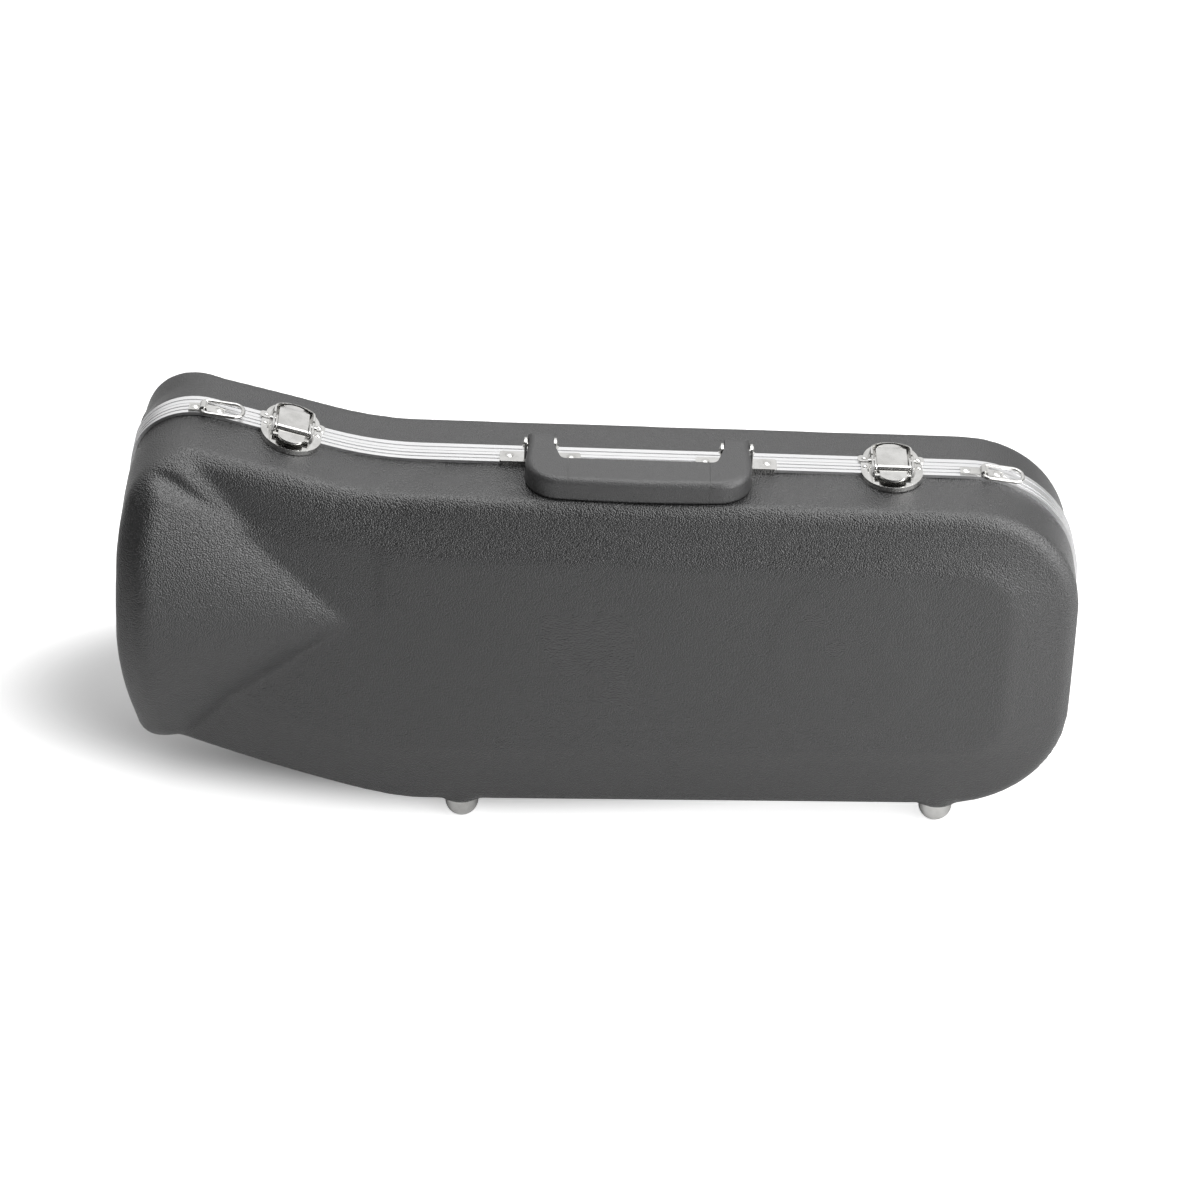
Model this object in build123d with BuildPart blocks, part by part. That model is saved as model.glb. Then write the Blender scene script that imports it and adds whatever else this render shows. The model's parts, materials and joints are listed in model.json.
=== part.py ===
from build123d import *

import os
from math import asin, atan, cos, degrees, pi, radians, sin, tan

# A contoured trumpet case: two moulded shells, each held in an aluminium rim, hinged along the
# bottom and latched along the top. X runs along the case with the bell end at -X, +Z is up and
# the case stands on its feet at z = 0. The front half, at -Y, is the base and carries the handle,
# the latches and the strap rings; the back half, at +Y, is the lid. Depths are measured from the
# seam between the halves, and heights over the rim from its outer face. Sizes are in millimetres.

# Rim outline: the corners before rounding, seen from the front
half_length = 287.5
rim_floor = 14.0
tail_height = 232.4
bend_x = -134.1
bend_height = 243.0
peak_x = -269.9
peak_height = 283.9
bell_side_x = -292.6
bell_side_height = 160.0
low_x = -283.4
low_height = 72.6
rise_x = -151.3
tail_top_round = 72.0
tail_low_round = 74.0
rise_round = 226.0
low_round = 28.0
bell_side_round = 500.0
peak_round = 38.0
bend_round = 200.0

# Flat panel in the middle of each shell: how far its border lies inside the shell's edge
panel_round = 20.0
panel_widest_round = 240.0
panel_tail_margin = 44.0
panel_floor_margin = 52.0
panel_bell_margin = 46.0
panel_top_margin = 39.0

# Shells
wall = 3.0
draft = 3.4
collar = 10.0
base_crease = 50.5
base_face = 60.0
lid_crease = 43.0
lid_face = 52.0
crease_bevel = 4.0

# Bell bulge: a cone that grows out of the panel towards the bell end
bell_tip_x = -148.0
bell_tip_height = 158.0
bell_spread = 42.0
bell_tilt = 5.0
base_bell_slope = 16.0
lid_bell_slope = 10.0
bell_round = 14.0
bell_reach_past = 260.0

# Round badge pad, bare
pad_x = 149.7
pad_height = 140.5
pad_width = 95.0
pad_tall = 114.0
pad_proud = 0.4

# Rims
rim_wall = 2.0
fit = 0.05
seam_gap = 0.3
base_rim_depth = 10.0
lid_rim_depth = 7.5
rim_web = 2.2
rim_lip = 1.2
rim_lip_depth = 6.5
tongue_gap = 0.4
tongue = 1.2
tongue_reach = 3.0
groove = 0.5
groove_width = 1.1
base_grooves = (2.6, 6.2)
lid_grooves = (3.4,)

# Feet
foot_xs = (-84.5, 209.3)
foot_radius = 10.3
foot_height = 15.0
foot_flat = 3.0
foot_shank = 2.0
foot_shank_length = 4.5
boss_radius = 13.0
boss_tip_radius = 2.0
boss_height = 42.0

# Rivets
rivet_head = 2.6
small_rivet_head = 1.7
rivet_dome = 1.0
rivet_shank = 1.2
rivet_gap = 0.03

# Hinges
hinge_xs = (-58.0, 62.0, 172.0)
hinge_length = 36.0
hinge_leaf = 1.0
hinge_reach = 7.4
knuckle_radius = 2.5
hinge_pin_radius = 1.2
pin_gap = 0.05
knuckle_count = 5
knuckle_gap = 0.2
hinge_drop = 3.0
hinge_slack = 0.5
hinge_rivet_spread = 12.0

# Handle
handle_x = 21.7
handle_width = 136.4
handle_arm_spacing = 116.0
handle_arm = 15.0
handle_flare = 22.5
handle_reach = 47.6
handle_bow = 3.0
handle_bar = 22.6
handle_top = 12.0
handle_low = -2.6
handle_corner = 21.0
handle_inner_round = 4.0
handle_round = 4.5
handle_edge = 2.5
handle_bend = 60.0
handle_pivot_depth = 4.0
handle_pivot_height = 8.5
handle_eye = 6.6
handle_pin_radius = 1.5
handle_pin_head = 3.0
handle_pin_dome = 1.3
grip_length = 83.0
grip_gap = 0.05
grip_core_depth = 12.0
grip_core_height = 6.5
grip_core_low = 1.5
grip_core_grip = 3.0
grip_wave = 2.2
grip_wave_length = 40.0
bracket_length = 48.0
bracket_plate = 1.5
bracket_ear = 1.6
bracket_ear_gap = 0.4
bracket_ear_radius = 4.5
bracket_rivet_spread = 18.3

# Latches
latch_xs = {"latch_left": -183.0, "latch_right": 172.0}
latch_plate = 1.2
latch_skirt = 1.95
latch_pivot_depth = 3.6
latch_pivot_height = 4.6
latch_pin_radius = 1.2
latch_plate_width = 36.5
latch_plate_reach = 27.25
latch_plate_flat = 16.0
latch_plate_slope_end = 21.0
latch_rail_top = 6.8
latch_rail_width = 28.2
latch_rail_lean = 14.0
latch_channel = 22.4
seam_margin = 0.5
lever_width = 21.6
lever_arm = 1.2
lever_arm_radius = 2.3
lever_plate = 1.3
lever_plate_width = 16.0
lever_plate_drop = 0.5
lever_reach = 24.5
lever_tip = 5.0
lever_clear = 3.2
lever_shoulder = 3.6
hasp_pivot_depth = 11.0
hasp_pivot_height = 4.6
hasp_width = 18.4
hasp_plate = 1.4
hasp_barrel = 2.2
hasp_pin_radius = 1.1
hasp_bend = 8.5
hasp_drop = 1.3
hasp_ramp = 5.0
hasp_reach = 16.5
hasp_nose = 8.6
strike_width = 33.0
strike_reach = 21.5
strike_channel_end = 17.4
strike_flat = 9.0
strike_end_height = 3.0
strike_ear_width = 39.5
strike_ear_depth = 6.6
strike_ear_round = 2.5
keeper_depth = 12.5
keeper = 1.5
keeper_width = 14.0
keeper_rise = 0.9
latch_rivet_spread = 15.9

# Strap rings: where each bar sits, and how far its rivets are behind and in front of it
ring_bars = {"ring_left": (-234.0, 4.8, 9.4), "ring_right": (226.6, 10.4, 8.2)}
ring_length = 23.5
ring_width = 14.0
ring_wire = 1.2
ring_bar_round = 2.6
ring_end_round = 6.0
ring_gap = 0.1
clip_plate = 1.0
clip_width = 7.0
clip_depth = 5.0
clip_margin = 3.6

# Linings
lining_gap = 0.3
base_lining_start = 2.5
lid_lining_start = 3.5
lid_lining_thickness = 11.0
bell_pocket_height = 160.0
bell_mouth_x = -262.0
bell_mouth_radius = 64.0
bell_flare_x = -226.0
bell_flare_radius = 34.0
bell_throat_x = -130.0
bell_throat_radius = 16.0
body_pocket_depth = 44.0
body_pocket_start = -168.0
body_pocket_end = 188.0
body_pocket_floor = 104.0
body_pocket_top = 206.0
body_pocket_round = 44.0
valve_well_x = 34.0
valve_well_length = 92.0
valve_well_floor = 98.0
valve_well_top = 219.0
valve_well_round = 12.0
box_x = 152.0
box_length = 148.0
box_floor = 33.0
box_top = 90.0
box_depth = 40.0
box_round = 8.0
block_length = 46.0
block_height = 30.0
mouthpiece_radius = 7.0
mouthpiece_depth = 24.0
mouthpiece_spacing = 23.0

slope = tan(radians(draft))
shell_inset = rim_wall + fit
lining_inset = shell_inset + wall + fit + rim_lip + lining_gap


def bell_reach(face, bell_slope):
    """Depth of the highest point of the bell bulge, on its rounded end."""
    end = half_length - shell_inset - slope * face - bell_round
    rise = radians(bell_slope)
    return face + (end + bell_tip_x) * tan(rise) - bell_round * (1 / cos(rise) - 1)


# The origin is in the middle of the case, so the seam lies behind it by half the difference
seam = (bell_reach(base_face, base_bell_slope) - bell_reach(lid_face, lid_bell_slope)) / 2
seam_plane = Plane.XZ.offset(-seam)

rim_corners = [
    (half_length, tail_height),
    (half_length, rim_floor),
    (rise_x, rim_floor),
    (low_x, low_height),
    (bell_side_x, bell_side_height),
    (peak_x, peak_height),
    (bend_x, bend_height),
]
rim_rounds = [
    tail_top_round,
    tail_low_round,
    rise_round,
    low_round,
    bell_side_round,
    peak_round,
    bend_round,
]
top_fall = atan((bend_height - tail_height) / (half_length - bend_x))
bell_fall = atan((peak_height - bend_height) / (bend_x - peak_x))


def outline(depth, inset, hole=None):
    """The rim's outline moved inwards, on a plane at a depth in front of the seam."""
    with BuildSketch(seam_plane.offset(depth)) as sketch:
        with BuildLine():
            FilletPolyline(*rim_corners, radius=rim_rounds, close=True)
        make_face()
        if inset:
            offset(amount=-inset)
        if hole is not None:
            offset(amount=inset - hole, mode=Mode.SUBTRACT)
    return sketch.sketch


def panel(depth):
    """The border of the flat panel, its sides parallel to the rim's and its arcs concentric."""
    margins = [
        panel_tail_margin,
        panel_floor_margin,
        panel_floor_margin,
        panel_bell_margin,
        panel_bell_margin,
        panel_top_margin,
        panel_top_margin,
    ]
    corners = []
    rounds = []
    for index, corner in enumerate(rim_corners):
        before = (Vector(*corner) - Vector(*rim_corners[index - 1])).normalized()
        after = (Vector(*rim_corners[(index + 1) % len(rim_corners)]) - Vector(*corner)).normalized()
        turn = before.cross(after).Z
        step = (before * margins[index] - after * margins[index - 1]) / turn
        corners.append((corner[0] + step.X, corner[1] + step.Y))
        if turn < 0:
            rounded = max(rim_rounds[index] - margins[index], panel_round)
            rounds.append(min(rounded, panel_widest_round))
        else:
            rounds.append(rim_rounds[index] + margins[index])
    with BuildSketch(seam_plane.offset(depth)) as sketch:
        with BuildLine():
            FilletPolyline(*corners, radius=rounds, close=True)
        make_face()
    return sketch.sketch


def bell_bulge(side, deep, face, bell_slope):
    """The cone that makes room for the bell, cut to the shell's drafted sides."""
    rise = radians(bell_slope)
    spread = radians(bell_spread)
    tilt = radians(bell_tilt)
    dip = atan((cos(rise) - cos(spread)) / sin(rise))
    half_angle = dip + rise
    axis = Vector(-cos(dip) * cos(tilt), sin(dip), cos(dip) * sin(tilt))
    tip = Vector(bell_tip_x, seam - face, bell_tip_height) + axis * (deep / sin(half_angle))
    with BuildPart() as bulge:
        sections = []
        for depth in (collar, 2 * face):
            sections.append(outline(depth, shell_inset + side + slope * (depth - collar)))
        loft(sections, ruled=True)
        with Locations(Plane(origin=tip, z_dir=axis)):
            Cone(
                0,
                bell_reach_past * tan(half_angle),
                bell_reach_past,
                align=(Align.CENTER, Align.CENTER, Align.MIN),
                mode=Mode.INTERSECT,
            )
        skin = bulge.faces().filter_by(GeomType.CONE).sort_by(SortBy.AREA)[-1]
        end = skin.edges().filter_by(lambda edge: edge.center().X < peak_x + bell_round)
        fillet(end.filter_by(lambda edge: edge.center().Y < seam - face), bell_round - deep)
    return bulge.part


def shell_form(start, side, deep, crease, face, bell_slope):
    """Half of the case as a block, its sides moved in by one amount and its face by another."""
    inset = shell_inset + side
    low = crease - deep - crease_bevel
    high = crease - deep + crease_bevel / 4
    with BuildPart() as form:
        extrude(outline(start, inset), amount=collar - start)
        sections = [
            outline(collar, inset),
            outline(low, inset + slope * (low - collar)),
            outline(high, inset + slope * (crease - deep - collar) + crease_bevel),
            panel(face - deep),
        ]
        loft(sections, ruled=True)
        add(bell_bulge(side, deep, face, bell_slope))
    return form.part


def foot_boss(x, y, tip_y):
    """A half-cone on the shell's side that narrows upwards from a foot's seat."""
    with BuildPart() as boss:
        with BuildSketch(Plane.XY.offset(foot_height)):
            with Locations((x, y)):
                Circle(boss_radius)
        with BuildSketch(Plane.XY.offset(foot_height + boss_height)):
            with Locations((x, tip_y)):
                Circle(boss_tip_radius)
        loft(ruled=True)
    return boss.part


def shell(start, crease, face, bell_slope):
    """A moulded shell with its foot bosses and the bare pad on its panel."""
    foot_y = seam - crease + boss_radius
    with BuildPart() as body:
        add(shell_form(start, 0, 0, crease, face, bell_slope))
        for x in foot_xs:
            add(foot_boss(x, foot_y, seam - face + 2 * boss_tip_radius))
        with BuildSketch(seam_plane.offset(face)):
            with Locations((pad_x, pad_height)):
                Ellipse(pad_width / 2, pad_tall / 2)
        extrude(amount=pad_proud)
        add(shell_form(0, wall, wall, crease, face, bell_slope), mode=Mode.SUBTRACT)
        with Locations([(x, foot_y, foot_height) for x in foot_xs]):
            Cylinder(
                foot_shank + rivet_gap,
                foot_shank_length + rivet_gap,
                align=(Align.CENTER, Align.CENTER, Align.MIN),
                mode=Mode.SUBTRACT,
            )
    return body.part


def corner_centre(before, corner, after, radius):
    """The centre of a rounded corner of the rim."""
    to_before = (Vector(*before) - Vector(*corner)).normalized()
    to_after = (Vector(*after) - Vector(*corner)).normalized()
    half_turn = radians(to_before.get_angle(to_after)) / 2
    return Vector(*corner) + (to_before + to_after).normalized() * (radius / sin(half_turn))


tail_centre = corner_centre(rim_corners[6], rim_corners[0], rim_corners[1], tail_top_round)
peak_centre = corner_centre(rim_corners[4], rim_corners[5], rim_corners[6], peak_round)


def rim_seat(x, lift=0):
    """A plane on top of the rim: x_dir along the rim, y_dir towards the lid, z_dir outwards."""
    if x > tail_centre.X + tail_top_round * sin(top_fall):
        tilt = asin((x - tail_centre.X) / tail_top_round)
        z = tail_centre.Y + tail_top_round * cos(tilt)
    elif x < peak_centre.X + peak_round * sin(bell_fall):
        tilt = asin((x - peak_centre.X) / peak_round)
        z = peak_centre.Y + peak_round * cos(tilt)
    elif x < bend_x:
        tilt = bell_fall
        z = bend_height + (bend_x - x) * tan(bell_fall)
    else:
        tilt = top_fall
        z = bend_height - (x - bend_x) * tan(top_fall)
    seat = Plane((x, seam, z), x_dir=(cos(tilt), 0, -sin(tilt)), z_dir=(sin(tilt), 0, cos(tilt)))
    return seat.offset(lift)


def spot(seat, along, depth, lift=0):
    """A plane parallel to the seat, moved along the rim, towards the lid and outwards."""
    return Plane(
        seat.from_local_coords(Vector(along, depth, lift)),
        x_dir=seat.x_dir,
        z_dir=seat.z_dir,
    )


def rivets(seats, head, plate):
    """Domed rivets on the seats, each going through a plate and the rim under it."""
    with BuildPart() as one:
        with BuildSketch(Plane.XZ):
            with BuildLine():
                Polyline((0, -rim_wall), (rivet_shank, -rim_wall), (rivet_shank, plate), (head, plate))
                TangentArc((0, plate + rivet_dome), (head, plate), tangent=(1, 0))
                Line((0, plate + rivet_dome), (0, -rim_wall))
            make_face()
        revolve(axis=Axis.Z)
    with BuildPart() as group:
        with Locations(*seats):
            add(one.part)
    return group.part


def save(part, name):
    """Label a finished piece and write it to its own file."""
    part.label = name
    export_step(part, f"parts/{name}.step")


os.makedirs("parts", exist_ok=True)

# Places of the fittings along the rim
latch_seats = {}
for name, x in latch_xs.items():
    latch_seats[name] = rim_seat(x)
handle_seat = rim_seat(handle_x)
bracket_seats = {
    "handle_bracket_left": spot(handle_seat, -handle_arm_spacing / 2, 0),
    "handle_bracket_right": spot(handle_seat, handle_arm_spacing / 2, 0),
}

latch_rivet_seats = []
strike_rivet_seats = []
for seat in latch_seats.values():
    for side in (-1, 1):
        along = side * latch_rivet_spread
        latch_rivet_seats.append(spot(seat, along, -base_rim_depth / 2))
        strike_rivet_seats.append(spot(seat, along, seam_gap + lid_rim_depth / 2))
bracket_rivet_seats = []
for seat in bracket_seats.values():
    for side in (-1, 1):
        bracket_rivet_seats.append(spot(seat, side * bracket_rivet_spread, -clip_depth))
clip_rivet_seats = []
for x, back, front in ring_bars.values():
    clip_rivet_seats.append(spot(rim_seat(x - back), 0, -clip_depth))
    clip_rivet_seats.append(spot(rim_seat(x + front), 0, -clip_depth))

# Under the case the hinge seats face down, with x_dir along +X and y_dir towards the base
base_hinge_rivet_seats = []
lid_hinge_rivet_seats = []
hinge_seats = []
for x in hinge_xs:
    hinge_seats.append(Plane((x, seam + seam_gap / 2, rim_floor), x_dir=(1, 0, 0), z_dir=(0, 0, -1)))
    for side in (-1, 1):
        along = side * hinge_rivet_spread
        base_hinge_rivet_seats.append(spot(hinge_seats[-1], along, hinge_reach * 2 / 3))
        lid_hinge_rivet_seats.append(spot(hinge_seats[-1], along, -hinge_reach * 2 / 3))

# Base rim: an extruded frame with the front shell in its channel and a tongue for the lid
lip_inset = shell_inset + wall + fit
tongue_inset = lip_inset + rim_lip + tongue_gap
with BuildPart() as base_rim:
    extrude(outline(0, 0, rim_wall), amount=base_rim_depth)
    extrude(outline(0, 0, tongue_inset + tongue), amount=rim_web)
    extrude(outline(0, lip_inset, lip_inset + rim_lip), amount=rim_lip_depth)
    extrude(outline(0, tongue_inset, tongue_inset + tongue), amount=-tongue_reach)
    for depth in base_grooves:
        extrude(outline(depth, 0, groove), amount=groove_width, mode=Mode.SUBTRACT)
    for seat in latch_rivet_seats + bracket_rivet_seats + clip_rivet_seats + base_hinge_rivet_seats:
        with Locations(seat):
            Cylinder(rivet_shank + rivet_gap, 3 * rim_wall, mode=Mode.SUBTRACT)
save(base_rim.part, "base_rim")

# Lid rim: the same frame, shallower, with a groove for the tongue
with BuildPart() as lid_rim:
    extrude(outline(-seam_gap, 0, rim_wall), amount=-lid_rim_depth)
    extrude(outline(-seam_gap, 0, lip_inset + rim_lip), amount=-rim_web)
    extrude(outline(-seam_gap, lip_inset, lip_inset + rim_lip), amount=-rim_lip_depth)
    for depth in lid_grooves:
        extrude(outline(-depth, 0, groove), amount=-groove_width, mode=Mode.SUBTRACT)
    for seat in strike_rivet_seats + lid_hinge_rivet_seats:
        with Locations(seat):
            Cylinder(rivet_shank + rivet_gap, 3 * rim_wall, mode=Mode.SUBTRACT)
save(lid_rim.part, "lid_rim")

# Shells
base_start = rim_web + fit
lid_start = rim_web + seam_gap + fit
save(shell(base_start, base_crease, base_face, base_bell_slope), "base_shell")
lid_shell = mirror(shell(lid_start, lid_crease, lid_face, lid_bell_slope), about=seam_plane)
save(lid_shell, "lid_shell")


def foot():
    """A domed foot with a small flat under it and a shank into the boss."""
    centre = (foot_radius**2 - foot_flat**2) ** 0.5
    side = (foot_radius * sin(radians(50)), centre - foot_radius * cos(radians(50)))
    top = foot_height + foot_shank_length
    with BuildPart() as body:
        with BuildSketch(Plane.XZ):
            with BuildLine():
                Line((0, 0), (foot_flat, 0))
                ThreePointArc((foot_flat, 0), side, (foot_radius, centre))
                Polyline(
                    (foot_radius, centre),
                    (foot_radius, foot_height),
                    (foot_shank, foot_height),
                    (foot_shank, top),
                    (0, top),
                    (0, 0),
                )
            make_face()
        revolve(axis=Axis.Z)
    return body.part


foot_depths = {
    "base_feet": seam - base_crease + boss_radius,
    "lid_feet": seam + lid_crease - boss_radius,
}
for name, y in foot_depths.items():
    with BuildPart() as feet:
        with Locations([(x, y, 0) for x in foot_xs]):
            add(foot())
    save(feet.part, name)


def hinge_leaf_part(seat, first):
    """A leaf on the seat's +y side; first is 0 for the outer knuckles and 1 for those between."""
    pitch = hinge_length / knuckle_count
    with BuildPart() as leaf:
        with BuildSketch(seat):
            with Locations((0, hinge_reach / 2)):
                Rectangle(hinge_length, hinge_reach)
            for index in range(knuckle_count):
                if index % 2 != first:
                    with Locations(((index - (knuckle_count - 1) / 2) * pitch, 0)):
                        Rectangle(
                            pitch + 2 * knuckle_gap,
                            2 * (knuckle_radius + hinge_slack),
                            mode=Mode.SUBTRACT,
                        )
        extrude(amount=hinge_leaf)
        for index in range(first, knuckle_count, 2):
            along = (index - (knuckle_count - 1) / 2) * pitch
            with Locations(spot(seat, along, 0, hinge_drop)):
                Cylinder(knuckle_radius, pitch - knuckle_gap, rotation=(0, 90, 0))
        with Locations(spot(seat, 0, 0, hinge_drop)):
            Cylinder(
                hinge_pin_radius + pin_gap,
                hinge_length * 2,
                rotation=(0, 90, 0),
                mode=Mode.SUBTRACT,
            )
        for side in (-1, 1):
            with Locations(spot(seat, side * hinge_rivet_spread, hinge_reach * 2 / 3)):
                Cylinder(rivet_shank + rivet_gap, 4 * hinge_leaf, mode=Mode.SUBTRACT)
    return leaf.part


for number, seat in enumerate(hinge_seats, start=1):
    turned = Plane(seat.origin, x_dir=-seat.x_dir, z_dir=seat.z_dir)
    save(hinge_leaf_part(seat, 0), f"hinge_{number}_base_leaf")
    save(hinge_leaf_part(turned, 1), f"hinge_{number}_lid_leaf")
    with BuildPart() as hinge_pin:
        with Locations(spot(seat, 0, 0, hinge_drop)):
            Cylinder(hinge_pin_radius, hinge_length, rotation=(0, 90, 0))
    save(hinge_pin.part, f"hinge_{number}_pin")
save(rivets(base_hinge_rivet_seats, small_rivet_head, hinge_leaf), "base_hinge_rivets")
save(rivets(lid_hinge_rivet_seats, small_rivet_head, hinge_leaf), "lid_hinge_rivets")

# Handle, in the seat's own directions: x along the rim, y towards the lid, z outwards
pivot = (-handle_pivot_depth, handle_pivot_height)
half_handle = handle_width / 2
arm_x = handle_arm_spacing / 2
arm_end = handle_eye - handle_pivot_depth
bar_front = handle_bow - handle_reach
bar_back = handle_bar - handle_reach
eye_low = handle_pivot_height - handle_eye
with BuildPart() as handle_block:
    with BuildSketch() as plan:
        with BuildLine():
            Polyline(
                (half_handle, bar_front),
                (arm_x + handle_arm / 2, -base_rim_depth),
                (arm_x + handle_arm / 2, arm_end),
                (arm_x - handle_arm / 2, arm_end),
                (arm_x - handle_arm / 2, -base_rim_depth),
                (half_handle - handle_flare, bar_back),
                (-half_handle + handle_flare, bar_back),
                (-arm_x + handle_arm / 2, -base_rim_depth),
                (-arm_x + handle_arm / 2, arm_end),
                (-arm_x - handle_arm / 2, arm_end),
                (-arm_x - handle_arm / 2, -base_rim_depth),
                (-half_handle, bar_front),
            )
            ThreePointArc(
                (-half_handle, bar_front),
                (0, -handle_reach),
                (half_handle, bar_front),
            )
        make_face()
        fillet(plan.vertices().group_by(Axis.Y)[0], radius=handle_corner)
        inner_corners = plan.vertices().filter_by_position(Axis.Y, bar_back - fit, bar_back + fit)
        fillet(inner_corners, radius=handle_inner_round)
        waists = plan.vertices().filter_by_position(Axis.Y, -base_rim_depth - fit, fit - base_rim_depth)
        fillet(waists, radius=handle_corner)
    extrude(amount=2 * handle_top, both=True)
    with BuildSketch(Plane.YZ) as side_view:
        with BuildLine():
            FilletPolyline(
                (handle_eye, handle_pivot_height + handle_eye),
                (-handle_pivot_depth, handle_pivot_height + handle_eye),
                (-handle_reach, handle_top),
                (-handle_reach, handle_low),
                (bar_back, handle_low),
                (-handle_pivot_depth - handle_eye, eye_low),
                (handle_eye, eye_low),
                radius=[0, handle_bend, 0, 0, handle_inner_round, handle_inner_round, 0],
                close=True,
            )
        make_face()
    extrude(amount=handle_width, both=True, mode=Mode.INTERSECT)
    outer = handle_block.edges().filter_by(
        lambda edge: edge.center().Y < bar_back - fit or abs(edge.center().X) > arm_x + handle_arm / 3
    )
    level = outer.filter_by(lambda edge: abs(edge.tangent_at(0.5).Z) < 0.5)
    fillet(level.filter_by(lambda edge: edge.center().Z > handle_top - fit), radius=handle_round)
    fillet(level.filter_by(lambda edge: edge.center().Z < handle_low + fit), radius=handle_edge)
    with BuildSketch(Plane.YZ):
        with Locations((arm_end, handle_pivot_height)):
            Rectangle(2 * handle_eye, 3 * handle_eye)
        with Locations(pivot):
            Circle(handle_eye, mode=Mode.SUBTRACT)
    extrude(amount=handle_width, both=True, mode=Mode.SUBTRACT)

core_y = handle_bar / 2 - handle_reach
core_z = grip_core_low + grip_core_height / 2
with BuildPart() as handle_frame:
    add(handle_block.part)
    with Locations((0, core_y, 0)):
        Box(grip_length, handle_reach, 2 * handle_reach, mode=Mode.SUBTRACT)
    with Locations((0, core_y, core_z)):
        Box(grip_length + 2 * grip_core_grip, grip_core_depth, grip_core_height)
    with Locations((0, *pivot)):
        Cylinder(
            handle_pin_radius + pin_gap,
            2 * handle_width,
            rotation=(0, 90, 0),
            mode=Mode.SUBTRACT,
        )

with BuildPart() as handle_grip:
    add(handle_block.part)
    with BuildSketch(Plane.XY.offset(handle_low)):
        with BuildLine():
            Line((-grip_wave_length / 2, bar_back), (grip_wave_length / 2, bar_back))
            Spline(
                (grip_wave_length / 2, bar_back),
                (0, bar_back + grip_wave),
                (-grip_wave_length / 2, bar_back),
                tangents=((-1, 0), (-1, 0)),
            )
        make_face()
    extrude(amount=handle_top - handle_low)
    with Locations((0, core_y, 0)):
        Box(
            grip_length - 2 * grip_gap,
            handle_reach,
            2 * handle_reach,
            mode=Mode.INTERSECT,
        )
    with Locations((0, core_y, core_z)):
        Box(
            grip_length,
            grip_core_depth + 2 * grip_gap,
            grip_core_height + 2 * grip_gap,
            mode=Mode.SUBTRACT,
        )

save(handle_seat.location * handle_frame.part, "handle_frame")
save(handle_seat.location * handle_grip.part, "handle_grip")

# Handle brackets and pins, in the bracket seat's own directions
ear_inner = handle_arm / 2 + bracket_ear_gap
ear_outer = ear_inner + bracket_ear
plate_front = -base_rim_depth - fit - bracket_plate
with BuildPart() as bracket:
    with BuildSketch():
        with Locations((0, (plate_front - seam_margin) / 2)):
            RectangleRounded(bracket_length, -seam_margin - plate_front, bracket_plate)
    extrude(amount=bracket_plate)
    with BuildSketch():
        with Locations((0, plate_front + bracket_plate / 2)):
            Rectangle(bracket_length - 2 * bracket_plate, bracket_plate)
    extrude(amount=-rim_wall)
    with BuildSketch(Plane.YZ.offset(-ear_outer)):
        with Locations(pivot):
            Circle(bracket_ear_radius)
        with BuildLine():
            Polyline(
                (-handle_pivot_depth - bracket_ear_radius, handle_pivot_height),
                (-base_rim_depth, 0),
                (-seam_margin, 0),
                (-seam_margin, handle_pivot_height),
                close=True,
            )
        make_face()
    extrude(amount=2 * ear_outer)
    with Locations((0, 0, bracket_plate)):
        Box(
            2 * ear_inner,
            4 * base_rim_depth,
            4 * base_rim_depth,
            align=(Align.CENTER, Align.CENTER, Align.MIN),
            mode=Mode.SUBTRACT,
        )
    with Locations((0, *pivot)):
        Cylinder(
            handle_pin_radius + rivet_gap,
            4 * ear_outer,
            rotation=(0, 90, 0),
            mode=Mode.SUBTRACT,
        )
    for side in (-1, 1):
        with Locations((side * bracket_rivet_spread, -clip_depth, 0)):
            Cylinder(rivet_shank + rivet_gap, 4 * bracket_plate, mode=Mode.SUBTRACT)

pin_end = ear_outer + fit
with BuildPart() as handle_pin:
    with BuildSketch(Plane.YX):
        with BuildLine():
            Polyline(
                (0, 0),
                (handle_pin_radius, 0),
                (handle_pin_radius, pin_end),
                (handle_pin_head, pin_end),
            )
            TangentArc((0, pin_end + handle_pin_dome), (handle_pin_head, pin_end), tangent=(1, 0))
            Line((0, pin_end + handle_pin_dome), (0, 0))
        make_face()
    revolve(axis=Axis.X)
    mirror(about=Plane.YZ)

for name, seat in bracket_seats.items():
    save(seat.location * bracket.part, name)
    pin_place = spot(seat, 0, *pivot)
    save(pin_place.location * handle_pin.part, name.replace("bracket", "pin"))
save(rivets(bracket_rivet_seats, rivet_head, bracket_plate), "bracket_rivets")


def round_end(width, start, reach):
    """An outline with a straight end near the seam and a half-round far end."""
    with BuildSketch() as sketch:
        with BuildLine():
            Polyline(
                (-width / 2, reach - width / 2),
                (-width / 2, start),
                (width / 2, start),
                (width / 2, reach - width / 2),
            )
            ThreePointArc(
                (width / 2, reach - width / 2),
                (0, reach),
                (-width / 2, reach - width / 2),
            )
        make_face()
    return sketch.sketch


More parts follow.
